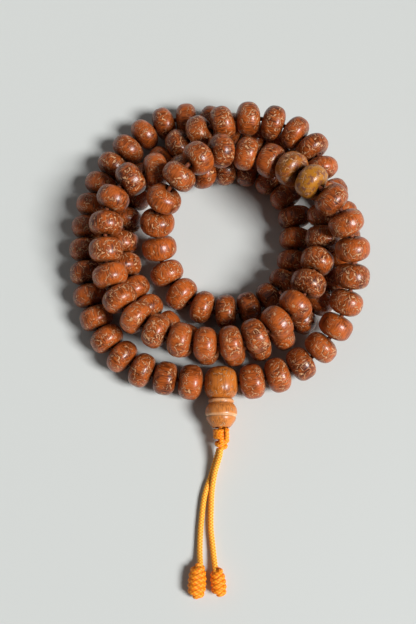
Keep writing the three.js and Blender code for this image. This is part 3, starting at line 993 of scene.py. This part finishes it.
def lobe(side, y, width, depth, tilt):
    """Part of a turn of a snake knot, in millimetres: from the seam in front, where it is
    lowest, round one side and into the seam behind. side is 1 for the left and -1 for the
    right. Both ends tuck in under the next lobes."""
    first, turn, steps = 55, 250, 24
    tucked_in = 0.42
    route = []
    for step in range(steps + 1):
        angle = math.radians(first + turn * step / steps)
        tuck = eased(abs(angle - math.pi), math.radians(70), math.radians(125))
        reach = 1 - tucked_in * tuck
        x = side * width * math.cos(angle) * reach
        route.append((x, y - tilt * math.sin(angle), depth * math.sin(angle) * reach))
    return route


class MALA_OT_strand_cord(bpy.types.Operator):
    """Makes the cord that runs through every bead"""

    bl_idname = "mala.strand_cord"
    bl_label = "Strand cord"

    def execute(self, context):
        settings = context.scene.mala_cord
        route = smooth_route(corners, 8)
        # Its brown material is painted shade, for the shade between the beads
        cord = braid(
            "strand_cord", [route], settings, settings.strand_radius, Columns=3, Sides=12,
            Step=0.5 * MM, Relief=0.0, Material=once(painted_shade_nylon, "painted_shade_nylon"),
        )
        hand_over(cord, STRAND, "cord_nylon", "bead_string")
        return {"FINISHED"}


# The collar knot: its top in millimetres from the guru bead's middle, and its lean to the floor
COLLAR_PLACE = (0.0, -12.2, -0.2)
COLLAR_LEAN = 0.17


class MALA_OT_collar_knot(bpy.types.Operator):
    """Makes the wrapped knot that holds the cap bead"""

    bl_idname = "mala.collar_knot"
    bl_label = "Collar knot"

    def execute(self, context):
        settings = context.scene.mala_cord
        place = Matrix.Translation(guru + Vector(COLLAR_PLACE) * MM)
        place = place @ Matrix.Rotation(COLLAR_LEAN, 4, "X")
        # Turns under the cap bead's foot, a strand that runs down over them, and the core
        turns, steps, width, depth, rise = 3.3, 28, 1.68, 1.6, 0.86
        wraps = []
        for step in range(int(turns * steps) + 1):
            angle = math.tau * step / steps
            slant = 0.3 * math.cos(angle) * eased(angle, 0, 6)
            y = -0.6 - rise * angle / math.tau - slant
            wraps.append((width * math.cos(angle), y, depth * math.sin(angle)))
        upright = [
            (0.9, -0.2, 0.6), (1.15, -0.42, 1.5), (1.4, -0.75, 2.05), (1.5, -1.35, 2.15),
            (1.5, -2.1, 2.1), (1.35, -2.8, 1.9), (0.9, -3.5, 1.2),
        ]
        core = [(0.0, 0.6, 0.0, 1.6), (0, -3, 0, 1.6), (0, -5.3, 0, 1.2)]
        routes = [placed(wraps, place)]
        routes.append(placed(smooth_route([Vector(p) for p in upright], 6), place))
        routes.append(placed(core, place))
        # Three lobes below them close the knot
        for row, side in enumerate((-1, 1, -1)):
            y, width = -3.75 - 0.62 * row, 1.32 - 0.06 * row
            routes.append(placed(lobe(side, y, width, depth=1.1, tilt=0.42), place))
        knot = braid(
            "collar_wraps", routes, settings, 0.56 * MM, Columns=3, Sides=24, Relief=0.1 * MM,
            Material=pulled_nylon(settings),
        )
        hand_over(knot, STRAND, "cord_nylon", "collar_knot")
        return {"FINISHED"}


# Each end knot: rows of lobes, their spacing, half width and half depth, the turn about Z, the
# cord's radius, how far it lies aside of its tail, and the stub that shows, in millimetres
END_KNOTS = {
    "left": {
        "rows": 11, "spacing": 0.66, "width": 2.45, "depth": 2.1, "turn": 0.06, "cord": 0.72,
        "aside": -0.6,
        "stub": [(0, -6.6, -0.2, 1), (-0.1, -7.6, -0.2, 1.2), (-0.15, -8.3, -0.25, 1.15),
                 (-0.18, -8.62, -0.25, 0.9), (-0.2, -8.78, -0.25, 0.45)],
    },
    "right": {
        "rows": 9, "spacing": 0.66, "width": 2.1, "depth": 1.85, "turn": -0.12, "cord": 0.68,
        "aside": 0.35,
        "stub": [(0.3, -1.6, 0.6, 0.9), (0.7, -0.9, 1.0, 0.9), (0.95, -0.45, 1.25, 0.95),
                 (1.05, -0.22, 1.4, 0.85), (1.08, -0.15, 1.45, 0.4)],
    },
}


class MALA_OT_end_knots(bpy.types.Operator):
    """Makes the two wrapped knots at the ends of the tails"""

    bl_idname = "mala.end_knots"
    bl_label = "End knots"

    def execute(self, context):
        settings = context.scene.mala_cord
        first_row, tilt, core_start = 0.75, 0.5, 0.4
        for side, knot in END_KNOTS.items():
            rows, spacing, cord = knot["rows"], knot["spacing"], knot["cord"]
            x, y, _ = TAILS[side][-1]
            height = knot["depth"] - FLOOR_DROP
            middle = Vector((guru.x + (x + knot["aside"]) * MM, guru.y + y * MM, height * MM))
            place = Matrix.Translation(middle) @ Matrix.Rotation(-knot["turn"], 4, "Z")
            core = [Vector((0, core_start, 0)), Vector((0, -rows * spacing, 0))]
            routes = [placed(knot["stub"], place), placed(smooth_route(core, 12), place)]
            for row in range(rows):
                # The knot is narrow at its top, full in its middle and a little less at its end
                share = (row + 0.5) / rows
                fullness = 0.72 + 0.28 * math.sin(math.pi * min(0.5, share * 1.15))
                fullness -= 0.14 * eased(share, 0.8, 1.0)
                width = knot["width"] * fullness - cord
                depth = knot["depth"] * fullness - cord
                y = -first_row - spacing * row
                routes.append(placed(lobe(1 if row % 2 else -1, y, width, depth, tilt), place))
            piece = braid(
                f"end_wraps_{side}", routes, settings, cord * MM, Columns=4, Sides=24,
                Relief=0.12 * MM, Material=pulled_nylon(settings),
            )
            hand_over(piece, STRAND, "cord_nylon", f"end_knot_{side}")
        return {"FINISHED"}


# How far a tail goes on inside the knots at both its ends, in millimetres
INTO_KNOT = 1.2


class MALA_OT_tails(bpy.types.Operator):
    """Makes the two braided tails, as free cords"""

    bl_idname = "mala.tails"
    bl_label = "Tails"

    def execute(self, context):
        settings = context.scene.mala_cord
        nylon = once(braided_nylon, "braided_nylon", tuple(settings.deep), tuple(settings.bright))
        base = Vector((guru.x, guru.y, -FLOOR_DROP * MM))
        for side, places in TAILS.items():
            route = [base + Vector(place) * MM for place in places]
            start = route[0] + (route[0] - route[1]).normalized() * INTO_KNOT * MM
            end = route[-1] + (route[-1] - route[-2]).normalized() * INTO_KNOT * MM
            route = smooth_route([start, *route, end], 10)
            cord = braid(
                f"tail_cord_{side}", [route], settings, settings.tail_radius, Material=nylon
            )
            hand_over(cord, STRAND, "cord_nylon", f"tail_{side}")
        return {"FINISHED"}


# ---- The stage

# What the camera looks at, from the guru bead's middle, in millimetres
LOOK_AT = (-3.6, 21.5)


def place_camera(scene, settings, target):
    """A camera that looks down at the target from in front."""
    lens = bpy.data.cameras.new("camera")
    lens.lens = settings.lens
    lens.sensor_width = 36
    lens.clip_start = 0.01
    camera = bpy.data.objects.new("camera", lens)
    back = Vector((0, -math.cos(settings.elevation), math.sin(settings.elevation)))
    camera.location = target + back * settings.distance
    camera.rotation_euler = back.to_track_quat("Z", "Y").to_euler()
    scene.collection.objects.link(camera)
    scene.camera = camera


def lay_floor(colour):
    """A floor of honed pale stone, 16 m across so that no view shows its edge."""
    mesh = bmesh.new()
    bmesh.ops.create_grid(mesh, x_segments=1, y_segments=1, size=8)
    bmesh.ops.translate(mesh, vec=(0, 0, -FLOOR_DROP * MM), verts=mesh.verts)
    floor_mesh = bpy.data.meshes.new("floor")
    mesh.to_mesh(floor_mesh)
    mesh.free()
    floor = as_piece("floor", floor_mesh)
    material, _, shader = new_material("honed_pale_stone", roughness=0.55)
    shader.inputs["Base Color"].default_value = tuple(colour)
    floor_mesh.materials.append(material)


def hang_lights(scene, power, target):
    """A wide soft key from the right, and a weak fill from behind on the left."""
    lamps = (
        ("key", power, 22, (0.7, -0.3, 0.82), "#FBFCFF"),
        ("fill", power * 0.05, 70, (-0.7, 0.5, 0.8), "#FFFFFF"),
    )
    for name, energy, width, place, colour in lamps:
        light = bpy.data.lights.new(name, "SUN")
        light.energy = energy
        light.angle = math.radians(width)
        light.color = linear(colour)[:3]
        lit = bpy.data.objects.new(name, light)
        lit.location = target + Vector(place)
        lit.rotation_euler = Vector(place).to_track_quat("Z", "Y").to_euler()
        scene.collection.objects.link(lit)


def paint_sky(scene, power):
    """The soft light of a studio, whose pale walls are brighter than its ceiling."""
    world = bpy.data.worlds.new("soft_sky")
    world.use_nodes = True
    tree = world.node_tree
    background = tree.nodes["Background"]
    background.inputs["Color"].default_value = linear("#F2F5FA")
    toward = add(tree, "ShaderNodeTexCoord").node.outputs["Generated"]
    rise = add(tree, "ShaderNodeSeparateXYZ", {0: toward}).node.outputs["Z"]
    strength = add(
        tree, MAP_RANGE, {0: rise, 1: 0.05, 2: 0.4, 3: 8 * power, 4: power},
        interpolation_type="SMOOTHSTEP",
    )
    tree.links.new(strength, background.inputs["Strength"])
    scene.world = world


class MALA_OT_stage(bpy.types.Operator):
    """Makes the camera, the floor and the light"""

    bl_idname = "mala.stage"
    bl_label = "Stage"

    def execute(self, context):
        scene = context.scene
        settings = scene.mala_stage
        target = Vector((guru.x + LOOK_AT[0] * MM, guru.y + LOOK_AT[1] * MM, 0))
        place_camera(scene, settings, target)
        lay_floor(settings.floor)
        hang_lights(scene, settings.key_power, target)
        paint_sky(scene, settings.sky_power)
        scene.view_settings.view_transform = "Standard"
        return {"FINISHED"}


# ---- The add-on


STEPS = (
    MALA_OT_stage,
    MALA_OT_end_knots,
    MALA_OT_tails,
    MALA_OT_collar_knot,
    MALA_OT_strand_cord,
    MALA_OT_guru_bead,
    MALA_OT_cap_bead,
    MALA_OT_beads,
)


class MALA_PT_panel(bpy.types.Panel):
    """Lists what the mala is made of"""

    bl_idname = "MALA_PT_panel"
    bl_label = "Mala"
    bl_space_type = "VIEW_3D"
    bl_region_type = "UI"
    bl_category = "Mala"

    def draw(self, context):
        for step in STEPS:
            self.layout.operator(step.bl_idname)
        scene = context.scene
        for settings in (scene.mala_seed, scene.mala_cord, scene.mala_stage):
            for name in settings.bl_rna.properties.keys():
                if name not in ("rna_type", "name"):
                    self.layout.prop(settings, name)


CLASSES = (SeedSettings, CordSettings, StageSettings, *STEPS, MALA_PT_panel)


def register():
    """Registers the classes and hangs the settings on the scene."""
    for each in CLASSES:
        bpy.utils.register_class(each)
    bpy.types.Scene.mala_seed = PointerProperty(type=SeedSettings)
    bpy.types.Scene.mala_cord = PointerProperty(type=CordSettings)
    bpy.types.Scene.mala_stage = PointerProperty(type=StageSettings)


def unregister():
    """Takes back what register did."""
    del bpy.types.Scene.mala_stage
    del bpy.types.Scene.mala_cord
    del bpy.types.Scene.mala_seed
    for each in reversed(CLASSES):
        bpy.utils.unregister_class(each)


def main():
    """Builds everything."""
    register()
    bpy.ops.mala.stage()
    bpy.ops.mala.end_knots()
    bpy.ops.mala.tails()
    bpy.ops.mala.collar_knot()
    bpy.ops.mala.strand_cord()
    bpy.ops.mala.guru_bead()
    bpy.ops.mala.cap_bead()
    bpy.ops.mala.beads()


if __name__ == "__main__":
    main()
